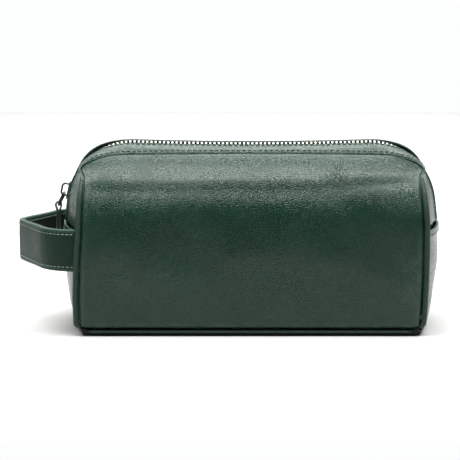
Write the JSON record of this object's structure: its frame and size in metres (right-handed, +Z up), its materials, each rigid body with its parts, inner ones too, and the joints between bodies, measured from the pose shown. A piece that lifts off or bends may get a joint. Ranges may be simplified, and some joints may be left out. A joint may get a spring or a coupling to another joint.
{
  "type": "leather wash bag",
  "caption": "Boxy soft leather wash bag with a metal zip along its top, piped side seams, a side strap handle and a leather zip pull.",
  "frame": {"origin": "centre of the flat base that the bag stands on", "axes": "+X along the bag away from the handle, front faces -Y, +Z up"},
  "size_m": [0.279, 0.1074, 0.1223],
  "materials": {
    "body_leather": "smooth semi-gloss dark bottle green leather",
    "piping_leather": "thin green leather wrapped round a cord",
    "strap_leather": "smooth green leather, painted edges, pale thread",
    "lining_cloth": "dark woven polyester lining",
    "base_board": "stiff fibre board, hidden",
    "zip_tape": "dark woven zip tape",
    "zip_metal": "nickel plated teeth",
    "slider_metal": "gunmetal plated slider and ring"
  },
  "bodies": {
    "root": {"base_board": "base_board", "base_lining": "lining_cloth", "base_panel": "body_leather", "front_base_welt": "piping_leather", "front_left_piping": "piping_leather", "front_lining": "lining_cloth", "front_panel": "body_leather", "front_right_piping": "piping_leather", "front_zip_facing": "body_leather", "handle_anchor_front": "strap_leather", "handle_anchor_rear": "strap_leather", "inner_slip_pocket": "lining_cloth", "left_end_lining": "lining_cloth", "left_end_panel": "body_leather", "left_zip_stops": "zip_metal", "rear_base_welt": "piping_leather", "rear_left_piping": "piping_leather", "rear_lining": "lining_cloth", "rear_panel": "body_leather", "rear_right_piping": "piping_leather", "rear_zip_facing": "body_leather", "right_end_lining": "lining_cloth", "right_end_panel": "body_leather", "right_zip_stop": "zip_metal", "zip_tape_front": "zip_tape", "zip_tape_rear": "zip_tape", "zip_teeth_front": "zip_metal", "zip_teeth_rear": "zip_metal"},
    "slider": {"slider_body": "slider_metal"},
    "ring": {"pull_ring": "slider_metal"},
    "tab": {"pull_tab": "strap_leather"},
    "handle": {"handle_outer_strap": "strap_leather", "handle_inner_strap": "strap_leather"}
  },
  "joints": [
    {"name": "zip_slider_travel", "type": "hinge", "parent": "root", "child": "slider", "pos_m": [-0.0785, 0, 0.0788], "axis": [0, 1, 0], "range_deg": [0, 66], "deforming": ["zip_teeth_front", "zip_teeth_rear"]},
    {"name": "ring_swing", "type": "hinge", "parent": "slider", "child": "ring", "pos_m": [-0.12491, 0, 0.087], "axis": [0, 1, 0], "range_deg": [0, 20]},
    {"name": "tab_swing", "type": "hinge", "parent": "ring", "child": "tab", "pos_m": [-0.12913, 0, 0.07905], "axis": [0, 1, 0], "range_deg": [-3, 25]},
    {"name": "handle_flex", "type": "hinge", "parent": "root", "child": "handle", "pos_m": [-0.1145, 0, 0.0565], "axis": [0, 1, 0], "range_deg": [-15, 15], "stiffness_Nm_per_rad": 0.4}
  ]
}
